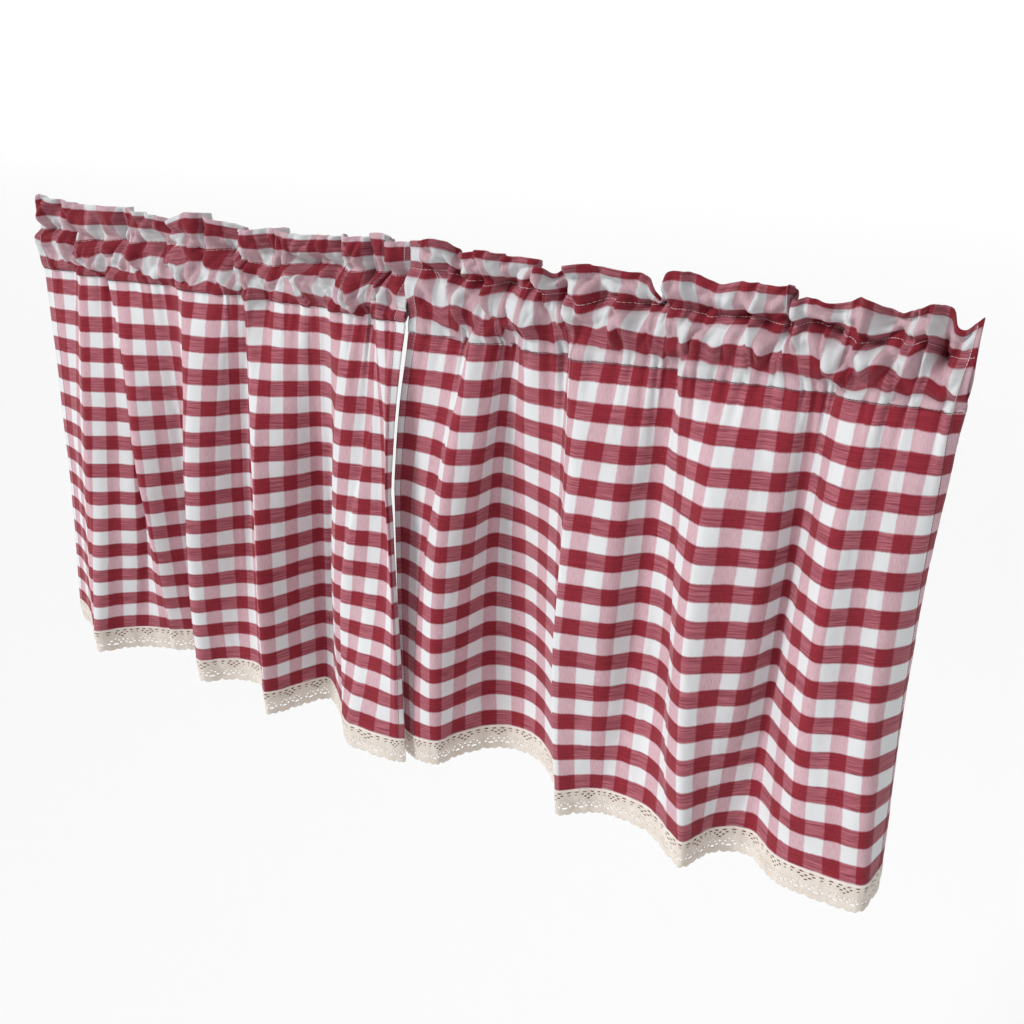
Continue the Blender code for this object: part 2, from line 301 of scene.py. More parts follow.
body = {
    "columns": 340,
    "rows": 112,
    "tuck": 0.003,                    # how far the panel runs up inside the heading
    "hemTurn": 0.013,                 # turned hem that hangs behind the lace
    "puckerDepth": (1.1, 3.4),        # small gathers that start at the stitch line, in mm
    "puckerLength": (0.025, 0.11),
    "puckerWidth": (0.0028, 0.0055),
    "puckerLean": 0.10,               # most that a gather wanders sideways on its way down
    "puckerStart": 0.006,             # the first one, from the side edge
    "puckerGap": (0.011, 0.024),      # from one to the next
    "pleatRise": 0.006,               # a pleat rises fast on its left
    "pleatCrest": 0.002,
    "pleatFall": 0.036,               # and falls away slowly on its right
    "drift": 0.0012,                  # slow unevenness of the cloth
    "driftCount": ((26, 9), (60, 22)),    # its waves to the metre, across and down, large and small
    "fine": 0.0003,
    "fineCount": (210, 120),
}


@lru_cache(maxsize=None)
def puckersOf(side):
    dice = random.Random(panels[side]["seed"])
    found = []
    across = body["puckerStart"]
    while across < panels[side]["flatWidth"]:
        deep = dice.uniform(*body["puckerDepth"]) * mm
        long = dice.uniform(*body["puckerLength"])
        wide = dice.uniform(*body["puckerWidth"])
        lean = dice.uniform(-body["puckerLean"], body["puckerLean"])
        found.append((across, deep, long, wide, lean))
        across += dice.uniform(*body["puckerGap"])
    return found


@lru_cache(maxsize=None)
def pleatAt(side, index, z):
    # Cloth position and height of one pleat at this level
    row = panels[side]["pleats"][index]
    level = min(max(z, cloth["hem"]), cloth["foldTop"])
    place = betweenLevels(level, row[0], row[1], row[2]) * mm
    tall = betweenLevels(level, row[3], row[4], row[5]) * mm
    return place, tall


def standOut(side, across, z):
    # How far the cloth stands out into the room from its main folds
    out = 0
    for index in range(len(panels[side]["pleats"])):
        place, tall = pleatAt(side, index, z)
        off = across - place
        if -body["pleatRise"] < off <= 0:
            out += tall * smooth(1 + off / body["pleatRise"])
        elif 0 < off < body["pleatFall"]:
            out += tall * (1 - smooth(off / body["pleatFall"])) if off > body["pleatCrest"] else tall
    # Each small gather widens and fades on its way down
    below = panels[side]["foot"] - z
    for place, deep, long, wide, lean in puckersOf(side):
        if below < long * 1.6:
            off = (across - place - lean * below) / (wide * (1 + 6 * below))
            if abs(off) < 3:
                out -= deep * exp(-off * off) * exp(-(max(below, 0) / long) ** 2 * 2)
    seed = panels[side]["seed"]
    (largeU, largeV), (smallU, smallV) = body["driftCount"]
    fineU, fineV = body["fineCount"]
    out += body["drift"] * noise.noise(Vector((across * largeU, z * largeV, seed)))
    out += body["drift"] * 0.5 * noise.noise(Vector((across * smallU, z * smallV, seed + 5)))
    out += body["fine"] * noise.noise(Vector((across * fineU, z * fineV, seed + 9)))
    return out


def panelPoint(side, across, z, proud=0.0):
    x, y = hungPoint(side, across, z)
    normalX, normalY = hungNormal(side, across, z)
    out = standOut(side, across, z) + proud
    return x + normalX * out, y + normalY * out, z


def pieceFrom(bm, name):
    mesh = bpy.data.meshes.new(name)
    bm.to_mesh(mesh)
    bm.free()
    mesh.shade_smooth()
    piece = bpy.data.objects.new(name, mesh)
    bpy.context.collection.objects.link(piece)
    return piece


def sheetMesh(name, columns, rows, place):
    # A fine grid of cloth: place gives each corner its spot and its spot on the flat weave
    bm = bmesh.new()
    grid = bmesh.ops.create_grid(bm, x_segments=len(columns) - 1, y_segments=len(rows) - 1, size=0.5)
    weave = bm.loops.layers.uv.new("weave")
    flat = {}
    for vert in grid["verts"]:
        column = columns[round((vert.co.x + 0.5) * (len(columns) - 1))]
        row = rows[round((vert.co.y + 0.5) * (len(rows) - 1))]
        vert.co, flat[vert] = place(column, row)
    for face in bm.faces:
        for loop in face.loops:
            loop[weave].uv = flat[loop.vert]
    return pieceFrom(bm, name)


def giveThickness(piece, thickness):
    wall = piece.modifiers.new("Thickness", "SOLIDIFY")
    wall.thickness = thickness
    wall.offset = 0
    wall.use_even_offset = False


def spread(start, end, count):
    return [start + (end - start) * step / count for step in range(count + 1)]


sideHem = cloth["sideHem"]
weaveShift = (0.05, 0.7)      # keeps the whole weave inside the map


def acrossColumns(width, count):
    # Columns across the cloth, with its turned side hems beyond both edges
    turned = [-sideHem, -sideHem * 0.6, -0.0035, -0.0018, -0.0009, -0.0003]
    middle = spread(0, width, count)
    return turned + middle + [width - value for value in reversed(turned)]


def foldedAcross(width, across):
    # The place across the panel, and how far behind it a turned hem lies
    if across < 0:
        return -across, -across
    if across > width:
        return 2 * width - across, across - width
    return across, 0


for side in ("left", "right"):
    top = panels[side]["foot"] + body["tuck"]
    width = panels[side]["flatWidth"]

    def hangPanel(across, z, side=side, width=width):
        place, over = foldedAcross(width, across)
        if over:
            proud = -cloth["hemBehind"] * mm * smooth(over / cloth["hemRun"])
        else:
            inward = min(place, width - place) - sideHem
            proud = cloth["hemRidge"] * mm * (1 - smooth(inward / cloth["hemRun"]))
        proud -= cloth["turnBehind"] * mm * smooth((cloth["hem"] - z) / 0.002)
        spot = panelPoint(side, place, z, proud)
        weaveZ = z if z > cloth["hem"] else 2 * cloth["hem"] - z
        return spot, (across + weaveShift[0], weaveZ + weaveShift[1])

    panel = sheetMesh(f"panelCloth_{side}", acrossColumns(width, body["columns"]),
                      spread(cloth["hem"] - body["hemTurn"], top, body["rows"]), hangPanel)
    giveThickness(panel, cloth["thickness"])
    panels[side]["panel"] = panel


print("stage 3: gathered headings")

heading = {
    "columns": 420,
    "pocketRows": 30,
    "frillRows": 16,
    "layerGap": 1.2,          # half the distance between the two layers of the frill, in mm
    "gatherAtStitch": 0.75,   # share of the frill's sway that is left at the upper stitch line
    "leanInFrill": 0.27,      # share of the sideways lean that lies above the upper stitch line
    "frillSway": {"left": 1.4, "right": 1.9},   # how much fuller the frill waves than the table says
    "crestWidth": 2.4,        # how sharply each lobe starts on its left, in mm
    "stitchPinch": 9.0,       # depth of the gathers at the upper stitch line, in mm
    "smallWave": 1.2,         # small gathers between the large ones, in mm
    "frillLean": 3.0,         # how far the frill leans out over the stitches, in mm
    "crumple": (13.0, 5.5),   # rounded folds with tight valleys, large and small, in mm
    "crumpleCount": (30, 72),   # how many there are to the metre
    "weftWave": 11.0,         # how far the folds pull the cross threads up and down, in mm
    "swell": 0.22,            # unevenness of the lobes, as a share of their depth
    "flatLobe": (0.16, 0.4),  # share of the depth that is left in a pinch, front and back
    "backPinch": 0.4,         # share of the pinch that the back layer takes below the stitches
    "sag": 1.3,               # how much more a lobe droops than its table says
    "calmEnd": 0.25,          # share of the crumpling that is left at the side edges
    "endRun": 0.025,          # how far in from them it grows
    "mouthRun": 0.06,         # how far in from the right end the pocket widens
    "edgeRound": 0.0015,      # how far below the top edge the two layers close
}


def stitchHeight(side, x):
    return alongRows(panels[side]["stitches"], 1, x / mm) * mm


def lobeAt(side, x, climb):
    # How full the lobe is here, from 1 on its crest to 0 deep in a pinch, and how much it droops
    rows = panels[side]["pinches"]
    lines = [row[1] + (row[0] - row[1]) * min(climb, 1) for row in rows]
    at = x / mm
    index = 0
    while index < len(lines) and lines[index] < at:
        index += 1
    # Past the first and last pinch a wide, shallow lobe runs on
    left, leftDeep = (lines[index - 1], rows[index - 1][2]) if index else (lines[0] - 60, 0.2)
    right, rightDeep, droop = lines[-1] + 45, 0.2, 1
    if index < len(lines):
        right, rightDeep, droop = lines[index], rows[index][2], rows[index][3]
    wide = max(right - left, 8)
    t = min(max((at - left) / wide, 0), 1)
    start = smooth(t * wide / heading["crestWidth"])
    full = 1 - leftDeep * (1 - start)
    full *= 1 - rightDeep * t ** 1.7
    full *= 1 - 0.5 * rightDeep * smooth((t * wide - wide + 4) / 4)
    return max(full, 0), droop * t * t * smooth((1 - t) * wide / 3.5)


def tuckAt(side, across):
    at = across / mm
    found = 0
    for start, end, deep in panels[side]["tucks"]:
        if start < at < end:
            found = max(found, deep * sin(pi * (at - start) / (end - start)) ** 2)
    return found * mm


def crumpleAt(side, x, climb):
    # How far the gathered cloth stands out here, and how far it is pulled up
    seed = panels[side]["seed"]
    large = noise.noise(Vector((x * heading["crumpleCount"][0] + climb * 0.5, climb * 0.9, seed + 20)))
    small = noise.noise(Vector((x * heading["crumpleCount"][1] - climb * 0.7, climb * 1.8, seed + 30)))
    out = (2 * abs(large) - 0.5) * heading["crumple"][0] + (2 * abs(small) - 0.5) * heading["crumple"][1]
    pull = (large + 0.4 * small) * heading["weftWave"]
    if climb < 1:
        held = smooth(climb / 0.5)
        pull *= smooth(climb / 0.45) * (1 - 0.7 * smooth((climb - 0.6) / 0.4))
    else:
        held = 1 - 0.25 * smooth(climb - 1)
        pull *= 0.3 * (2 - climb)
    return out * held * mm, pull * mm


def headingPoint(side, across, climb, depth, back):
    # climb is 0 at the lower stitch line, 1 at the upper one and 2 at the top edge
    facts = panels[side]
    at = across / mm
    seed = facts["seed"]
    footX, footY = panelPoint(side, across, facts["foot"])[:2]
    wayX, wayY = hungNormal(side, across, facts["foot"])
    frillX = threadRow(side, "frill", 1, at) * mm
    sway = threadRow(side, "frill", 2, at) * heading["frillSway"][side] * mm
    rise = threadRow(side, "frill", 3, at) * mm
    inPocket = min(climb, 1)
    stand = max(climb - 1, 0)
    lean = heading["leanInFrill"]
    x = footX + (frillX - footX) * (inPocket * (1 - lean) + stand * lean)
    stitchZ = stitchHeight(side, x)
    bottom = facts["foot"]
    z = bottom + (stitchZ - bottom) * inPocket + (rise - stitchZ) * stand
    full, droop = lobeAt(side, x, climb)
    out, pull = crumpleAt(side, x, climb)
    inside = smooth(min(across, facts["flatWidth"] - across) / heading["endRun"])
    out *= heading["calmEnd"] + (1 - heading["calmEnd"]) * inside
    keep = heading["gatherAtStitch"]
    share = keep + (1 - keep) * smooth(stand) if climb >= 1 else keep * smooth((climb - 0.45) / 0.55)
    y = footY * (1 - smooth((climb - 0.08) / 0.3)) + (sway + tuckAt(side, across)) * share
    pinch = heading["stitchPinch"] * mm * (1 - full)
    ripple = heading["smallWave"] * mm * noise.noise(Vector((across * 75, climb * 1.1, seed)))
    if climb < 1:
        swell = 1 + heading["swell"] * noise.noise(Vector((x * 34, climb * 1.6, seed + 3)))
        frontFlat, backFlat = heading["flatLobe"]
        room = depth * swell * (frontFlat + (1 - frontFlat) * full)
        depth = depth * swell * (backFlat + (1 - backFlat) * full) if back else room
        # Where the foot is folded back on itself, the pocket opens more slowly
        least = facts["pocket"][0][2] * mm
        facing = smooth(0.3 - wayY)
        opening = facing + (1 - facing) * smooth(climb / 0.6)
        depth = least + max(depth - least, 0) * opening
        room = max(room - least, 0) * opening
        if back:
            pinch *= heading["backPinch"] + (1 - heading["backPinch"]) * smooth((climb - 0.75) / 0.2)
        y += pinch * smooth((climb - 0.4) / 0.6) + ripple * smooth(climb / 0.3)
        low = smooth(climb / 0.07) * (1 - smooth((climb - 0.1) / 0.85))
        z -= droop * heading["sag"] * mm * low
    else:
        y += pinch * (1 - smooth(stand / 0.75)) + ripple * (1 + 0.6 * stand)
        y -= heading["frillLean"] * mm * smooth(stand * 2.5) * inside
    # In the pocket the folds of the two layers face away from each other
    apart = smooth(climb / 0.4) * (1 - smooth((climb - 0.6) / 0.35))
    if apart > 0.01:
        out = max(out, -room * (0.5 + 0.5 * facts["mouth"]) / apart)    # a valley stops at the other layer
    y -= out * (1 - 2 * apart if back else 1)
    if climb < 1:
        fromEnd = smooth((facts["flatWidth"] - across) / heading["mouthRun"])
        depth *= facts["mouth"] + (1 - facts["mouth"]) * fromEnd
    # At the foot the layers part square to the cloth, and higher up straight towards the room
    free = smooth(climb / 0.25)
    depth = -depth if back else depth
    x += depth * wayX * (1 - free)
    y += depth * (wayY * (1 - free) - free)
    return x, y, z + pull


def upHeading(side, height):
    # The climb and the depth at this distance up the cloth of one layer
    pocket = panels[side]["pocketCloth"]
    tall = panels[side]["topCloth"]
    if height <= pocket:
        share = height / pocket
        return threadRow(side, "pocket", 1, share), threadRow(side, "pocket", 2, share) * mm
    depth = heading["layerGap"] * mm
    fromTop = tall - height
    if fromTop < heading["edgeRound"]:
        depth *= (1 - (1 - fromTop / heading["edgeRound"]) ** 2) ** 0.5
    return 1 + (height - pocket) / (tall - pocket), depth


def headingRows(side):
    # Rows up the front, over the top edge and down the back, as distances along the cloth
    facts = panels[side]
    pocket = facts["pocketCloth"]
    tall = facts["topCloth"]
    up = spread(0, pocket, heading["pocketRows"]) + spread(pocket, tall - 0.002, heading["frillRows"])[1:]
    up += [tall - 0.0012, tall - 0.0005]
    return up + [tall] + [2 * tall - value for value in reversed(up)]


for side in ("left", "right"):
    facts = panels[side]

    def gatherHeading(across, along, side=side, facts=facts):
        tall = facts["topCloth"]
        back = along > tall
        climb, depth = upHeading(side, 2 * tall - along if back else along)
        place, over = foldedAcross(facts["flatWidth"], across)
        spot = Vector(headingPoint(side, place, climb, depth, back))
        if over:
            spot.y += (0.0011 if not back else -0.0011) * smooth(over / cloth["hemRun"])
        return spot, (across + weaveShift[0], facts["footWeave"] + along + weaveShift[1])

    piece = sheetMesh(f"headingCloth_{side}", acrossColumns(facts["flatWidth"], heading["columns"]),
                      headingRows(side), gatherHeading)
    giveThickness(piece, cloth["thickness"])
    facts["heading"] = piece


print("stage 4: lace")

lace = {
    "tall": 0.034,
    "over": 0.002,            # how far its foot lies over the hem
    "repeat": 40,             # one motif, in mm
    "motifs": 20,             # drawn in a little to the width of the panel
    "proud": 0.0008,
    "thickness": 0.0006,
    "points": (10, 1.7),      # spacing and depth of the small points of the lower edge, in mm
    "scallops": (20, 1.5),    # the same of the wide ones
    "edgeDepths": (22, 11),   # where they start, under the foot, and over what height they grow, in mm
    "wave": 0.0006,           # how far the free edge waves in and out
}

# Holes of one motif: x from its left end, depth under the foot, half width, half height, all in mm
laceHoles = [(5 + 10 * step, 4.0, 2.9, 0.95) for step in range(4)]
laceHoles += [(12.4, 7.2, 1.9, 0.9), (20, 7.2, 1.9, 0.9), (27.6, 7.2, 1.9, 0.9), (16.2, 9.8, 1.9, 0.9),
              (23.8, 9.8, 1.9, 0.9), (20, 12.4, 1.9, 0.9), (4.4, 7.6, 1.3, 0.8), (35.6, 7.6, 1.3, 0.8)]
for middle in (10, 30):
    laceHoles += [(middle, 25.0, 3.2, 1.6), (middle - 6.3, 23.0, 1.7, 1.5), (middle + 6.3, 23.0, 1.7, 1.5),
                  (middle - 3.8, 19.2, 1.4, 1.3), (middle + 3.8, 19.2, 1.4, 1.3), (middle, 16.6, 1.4, 1.1)]
laceHoles += [(20, 18.6, 1.3, 1.6)]


def laceMotif():
    # One repeat of the lace, flat, in mm, with its holes cut out of a grid and rounded
    wide = lace["repeat"]
    tall = round(lace["tall"] / mm)
    bm = bmesh.new()
    bmesh.ops.create_grid(bm, x_segments=wide, y_segments=tall, size=0.5)
    bmesh.ops.scale(bm, vec=(wide, tall, 1), verts=bm.verts)
    bmesh.ops.translate(bm, vec=(wide / 2, -tall / 2, 0), verts=bm.verts)
    doomed = []
    rims = {}
    for face in bm.faces:
        spot = face.calc_center_median()
        for hole in laceHoles:
            offX = (spot.x - hole[0]) / hole[2]
            offY = (-spot.y - hole[1]) / hole[3]
            if offX * offX + offY * offY < 1:
                doomed.append(face)
                for vert in face.verts:
                    rims[vert] = hole
    gone = set(doomed)
    for vert, hole in rims.items():
        if all(face in gone for face in vert.link_faces):
            continue
        off = Vector((vert.co.x - hole[0], vert.co.y + hole[1], 0))
        reach = hypot(off.x / hole[2], off.y / hole[3])
        if reach > 0.01 and 0 < vert.co.x < wide:
            vert.co.x = hole[0] + off.x / reach
            vert.co.y = -hole[1] + off.y / reach
    bmesh.ops.delete(bm, geom=doomed, context="FACES")
    return bm


for side in ("left", "right"):
    bm = laceMotif()
    first = bm.verts[:] + bm.edges[:] + bm.faces[:]
    for step in range(1, lace["motifs"]):
        copy = bmesh.ops.duplicate(bm, geom=first)
        moved = [item for item in copy["geom"] if isinstance(item, bmesh.types.BMVert)]
        bmesh.ops.translate(bm, vec=(lace["repeat"] * step, 0, 0), verts=moved)
    bmesh.ops.remove_doubles(bm, verts=bm.verts, dist=0.02)
    weave = bm.loops.layers.uv.new("weave")
    for face in bm.faces:
        for loop in face.loops:
            loop[weave].uv = (loop.vert.co.x * mm + weaveShift[0], loop.vert.co.y * mm + weaveShift[1])
    wide = lace["repeat"] * lace["motifs"]
    edgeStart, edgeGrowth = lace["edgeDepths"]
    for vert in bm.verts:
        across = vert.co.x / wide * panels[side]["flatWidth"]
        down = -vert.co.y
        for gap, deep in (lace["points"], lace["scallops"]):
            down -= deep * (1 - abs(sin(pi * vert.co.x / gap))) * smooth((-vert.co.y - edgeStart) / edgeGrowth)
        z = cloth["hem"] + lace["over"] - down * mm
        lift = lace["proud"] * (1 - smooth((down * mm - lace["over"] - body["hemTurn"]) / 0.005))
        wave = lace["wave"] * noise.noise(Vector((across * 70, 0, 3))) * smooth(down * mm / lace["tall"])
        vert.co = panelPoint(side, across, max(z, cloth["hem"]), lift + wave)
        vert.co.z = z
    piece = pieceFrom(bm, f"laceTrim_{side}")
    giveThickness(piece, lace["thickness"])
    panels[side]["lace"] = piece


print("stage 5: stitches")

stitching = {
    "length": 0.0026,
    "pitch": 0.0034,
    "radius": 0.00028,
    "proud": 0.0006,
    "endInset": 0.002,        # how far in from the cloth's edges a seam starts and ends
    "looseRadius": 0.0002,
}

# Loose thread ends at the start of the upper seam: distance across the cloth, then x and drop of the end
threadEnds = [(0.022, 0.013, 0.007), (0.025, 0.006, 0.013), (0.028, 0.011, 0.011)]


def sewLine(bm, spotAt, start, end):
    # A row of small stitches along a curve that spotAt gives: its place and the way out of the cloth
    travelled = start
    while travelled + stitching["length"] < end:
        a, outA = spotAt(travelled)
        b, outB = spotAt(travelled + stitching["length"])
        a = Vector(a)
        b = Vector(b)
        run = b - a
        if 0.0005 < run.length < 0.006:
            out = Vector(outA).normalized()
            turn = run.to_track_quat("Z", "Y").to_matrix().to_4x4()
            turn.translation = (a + b) / 2 + out * stitching["proud"]
            bmesh.ops.create_cone(bm, cap_ends=True, segments=5, radius1=stitching["radius"],
                                  radius2=stitching["radius"], depth=run.length, matrix=turn)
        travelled += stitching["pitch"]


def stitchesOf(name, lines, threads=()):
    bm = bmesh.new()
    for spotAt, start, end in lines:
        sewLine(bm, spotAt, start, end)
    for start, reach, drop in threads:
        hangThread(bm, start, reach, drop)
    return pieceFrom(bm, name)


def hangThread(bm, start, reach, drop):
    # One thin curved thread that lies on the cloth
    before = Vector(start)
    for step in range(1, 9):
        t = step / 8
        spot = Vector(start) + Vector((reach * t, -0.002 * sin(pi * t), -drop * t ** 1.6))
        turn = (spot - before).to_track_quat("Z", "Y").to_matrix().to_4x4()
        turn.translation = (spot + before) / 2
        bmesh.ops.create_cone(bm, cap_ends=True, segments=5, radius1=stitching["looseRadius"],
                              radius2=stitching["looseRadius"], depth=(spot - before).length, matrix=turn)
        before = spot


threadPieces = []
for side in ("left", "right"):
    facts = panels[side]

    def upperSeam(across, side=side):
        return headingPoint(side, across, 1.0, 1.2 * mm, False), (0, -1, 0)

    def lowerSeam(across, side=side):
        return headingPoint(side, across, 0.0, panels[side]["pocket"][0][2] * mm, False), (0, -1, 0)

    def sideSeam(edge, side=side):
        def spotAt(down):
            z = panels[side]["foot"] - down
            normal = hungNormal(side, edge, z)
            return panelPoint(side, edge, z), (normal[0], normal[1], 0)
        return spotAt

    def endSeam(edge, side=side):
        def spotAt(up):
            climb, depth = upHeading(side, up)
            return headingPoint(side, edge, climb, depth, False), (0, -1, 0)
        return spotAt

    width = facts["flatWidth"]
    inset = stitching["endInset"]
    tall = facts["topCloth"] - 0.003
    low = facts["foot"] - cloth["hem"] - inset
    loose = []
    if side == "right":
        for across, reach, drop in threadEnds:
            loose.append((Vector(upperSeam(across)[0]) + Vector((0, -0.001, 0)), reach, drop))
    light = stitchesOf(f"upperStitches_{side}", [
        (upperSeam, inset, width - inset), (endSeam(sideHem), 0.003, tall),
        (endSeam(width - sideHem), 0.003, tall)], loose)
    dark = stitchesOf(f"lowerStitches_{side}", [
        (lowerSeam, inset, width - inset), (sideSeam(sideHem), 0.004, low),
        (sideSeam(width - sideHem), 0.004, low)])
    threadPieces += [(light, "light"), (dark, "dark")]


print("stage 6: materials")


def addNode(tree, kind, **settings):
    node = tree.nodes.new(kind)
    for key, value in settings.items():
        setattr(node, key, value)
    return node


def feed(tree, node, socket, value):
    if isinstance(value, bpy.types.NodeSocket):
        tree.links.new(value, node.inputs[socket])
    else:
        node.inputs[socket].default_value = value


def sums(tree, operation, a, b=0.0):
    node = addNode(tree, "ShaderNodeMath", operation=operation)
    feed(tree, node, 0, a)
    feed(tree, node, 1, b)
    return node.outputs[0]


def ranged(tree, value, low, high, toLow, toHigh):
    node = addNode(tree, "ShaderNodeMapRange")
    for socket, number in zip(("Value", "From Min", "From Max", "To Min", "To Max"),
                              (value, low, high, toLow, toHigh)):
        feed(tree, node, socket, number)
    return node.outputs[0]


def blended(tree, share, a, b, how="MIX"):
    node = addNode(tree, "ShaderNodeMix", data_type="RGBA", blend_type=how)
    feed(tree, node, "Factor", share)
    feed(tree, node, 6, a)
    feed(tree, node, 7, b)
    return node.outputs[2]


def placed(tree, u, v):
    node = addNode(tree, "ShaderNodeCombineXYZ")
    feed(tree, node, 0, u)
    feed(tree, node, 1, v)
    return node.outputs[0]


def cloudy(tree, u, v, counts, detail=2.0, rough=0.5):
    # Noise on the weave, with so many waves to the metre across and along it
    node = addNode(tree, "ShaderNodeTexNoise", noise_dimensions="2D")
    across, along = [sums(tree, "MULTIPLY", way, count) for way, count in zip((u, v), counts)]
    feed(tree, node, "Vector", placed(tree, across, along))
    node.inputs["Scale"].default_value = 1.0
    node.inputs["Detail"].default_value = detail
    node.inputs["Roughness"].default_value = rough
    return node.outputs["Fac"]


def colour(red, green, blue):
    # A screen colour of 0 to 255 as Blender's linear colour
    linear = []
    for value in (red / 255, green / 255, blue / 255):
        linear.append(value / 12.92 if value < 0.04045 else ((value + 0.055) / 1.055) ** 2.4)
    return (*linear, 1)


def weavePlace(tree):
    # The place on the flat weave, across and along
    uv = addNode(tree, "ShaderNodeUVMap", uv_map="weave")
    parts = addNode(tree, "ShaderNodeSeparateXYZ")
    tree.links.new(uv.outputs[0], parts.inputs[0])
    return parts.outputs[0], parts.outputs[1]


def giveBump(tree, shader, height, strength, distance):
    bump = addNode(tree, "ShaderNodeBump")
    bump.inputs["Strength"].default_value = strength
    bump.inputs["Distance"].default_value = distance
    tree.links.new(height, bump.inputs["Height"])
    tree.links.new(bump.outputs[0], shader.inputs["Normal"])


def newMaterial(name):
    material = bpy.data.materials.new(name)
    material.use_nodes = True
    tree = material.node_tree
    shader = tree.nodes["Principled BSDF"]
    return material, tree, shader


gingham = {
    "acrossRepeat": 0.037,
    "acrossBand": 0.020,      # middle of the first pink band, from the left edge
    "alongRepeat": 0.038,
    "alongBand": -0.0962,     # middle of the first red band of the body
    "edge": 0.022,            # softness of the edges of a check, as a share of the repeat
    "white": (221, 223, 225),
    "pinkLight": (214, 184, 192),
    "pinkDeep": (192, 150, 160),
    "redLight": (182, 106, 117),
    "redDeep": (132, 54, 68),
    "darkLight": (152, 38, 54),
    "darkDeep": (113, 18, 33),
    "backBandPaintedShade": (120, 70, 84),    # painted shade: a red band of the back layer, painted faintly onto the front one as if seen through it
    "paintedShowThrough": 0.16,
    "wander": 0.0011,         # how far the edges of the checks stray
    "jag": 0.0006,            # how ragged they are
    "warpSlubs": (1500, 130), # streaks to the metre, across and along the cloth
    "weftSlubs": (26, 700),
    "threadPitch": 0.0009,
    "doublePaintedShade": 0.93,      # painted shade: the two-layer headings are painted a little darker than one layer
}


def bandMask(tree, place, repeat, middle, edge):
    # 1 inside the coloured bands, 0 between them
    turns = sums(tree, "DIVIDE", sums(tree, "SUBTRACT", place, middle), repeat)
    part = sums(tree, "FRACT", sums(tree, "ADD", turns, 20.5))
    away = sums(tree, "ABSOLUTE", sums(tree, "SUBTRACT", part, 0.5))
    return ranged(tree, away, 0.25 - edge, 0.25 + edge, 1.0, 0.0)


def ginghamMaterial(name, shade=1.0, backTop=None):
    material, tree, shader = newMaterial(name)
    u, v = [sums(tree, "SUBTRACT", way, shift) for way, shift in zip(weavePlace(tree), weaveShift)]
    # The threads wander a little, so the edges of the checks do too
    wander = cloudy(tree, u, v, (30, 30), 3)
    jagWarp = cloudy(tree, u, v, (80, 1400))
    jagWeft = cloudy(tree, u, v, (1400, 80))
    uMoved = sums(tree, "ADD", u, ranged(tree, wander, 0.0, 1.0, -gingham["wander"], gingham["wander"]))
    uMoved = sums(tree, "ADD", uMoved, ranged(tree, jagWarp, 0.0, 1.0, -gingham["jag"], gingham["jag"]))
    vMoved = sums(tree, "ADD", v, ranged(tree, wander, 0.0, 1.0, gingham["wander"], -gingham["wander"]))
    vMoved = sums(tree, "ADD", vMoved, ranged(tree, jagWeft, 0.0, 1.0, -gingham["jag"], gingham["jag"]))
    warp = bandMask(tree, uMoved, gingham["acrossRepeat"], gingham["acrossBand"], gingham["edge"])
    weft = bandMask(tree, vMoved, gingham["alongRepeat"], gingham["alongBand"], gingham["edge"])
    # Slubs: streaks along the threads of each set
    warpStreak = cloudy(tree, u, v, gingham["warpSlubs"], 3, 0.7)
    weftStreak = cloudy(tree, u, v, gingham["weftSlubs"], 3, 0.65)
    warpLevel = ranged(tree, warpStreak, 0.25, 0.75, 0.0, 1.0)
    weftLevel = ranged(tree, weftStreak, 0.3, 0.7, 0.0, 1.0)

    # Every colour is scaled by shade; below 1 this is painted shade, as on the headings
    def dyed(key):
        return colour(*[value * shade for value in gingham[key]])

    pink = blended(tree, warpLevel, dyed("pinkLight"), dyed("pinkDeep"))
    red = blended(tree, weftLevel, dyed("redLight"), dyed("redDeep"))
    both = sums(tree, "MULTIPLY", sums(tree, "ADD", warpLevel, weftLevel), 0.5)
    dark = blended(tree, both, dyed("darkLight"), dyed("darkDeep"))
    pale = blended(tree, warp, dyed("white"), pink)
    strong = blended(tree, warp, red, dark)
    base = blended(tree, weft, pale, strong)
    if backTop is not None:
        # Painted shade: the back layer hangs the other way up, and its red bands are painted faintly in
        # between, as if seen through the front layer
        mirrored = sums(tree, "SUBTRACT", 2 * backTop, v)
        weftBack = bandMask(tree, mirrored, gingham["alongRepeat"], gingham["alongBand"], 0.03)
        unbanded = sums(tree, "SUBTRACT", 1.0, weft)
        through = sums(tree, "MULTIPLY", sums(tree, "MULTIPLY", weftBack, unbanded), gingham["paintedShowThrough"])
        base = blended(tree, through, base, colour(*gingham["backBandPaintedShade"]))
    cloud = cloudy(tree, u, v, (9, 9), 3)
    base = blended(tree, ranged(tree, cloud, 0.35, 0.7, 0.0, 0.07), base, dyed("redDeep"), "MULTIPLY")
    tree.links.new(base, shader.inputs["Base Color"])
    slubs = sums(tree, "ADD", warpStreak, weftStreak)
    tree.links.new(ranged(tree, slubs, 0.6, 1.4, 0.78, 0.95), shader.inputs["Roughness"])
    shader.inputs["Sheen Weight"].default_value = 0.12
    shader.inputs["Sheen Roughness"].default_value = 0.5
    shader.inputs["Specular IOR Level"].default_value = 0.25
    # The crossing threads, and the slubs over them
    overU = sums(tree, "SINE", sums(tree, "MULTIPLY", u, 2 * pi / gingham["threadPitch"]))
    overV = sums(tree, "SINE", sums(tree, "MULTIPLY", v, 2 * pi / gingham["threadPitch"]))
    threads = sums(tree, "MULTIPLY", overU, overV)
    giveBump(tree, shader, sums(tree, "ADD", sums(tree, "MULTIPLY", threads, 0.25), slubs), 0.45, 0.0003)
    return material


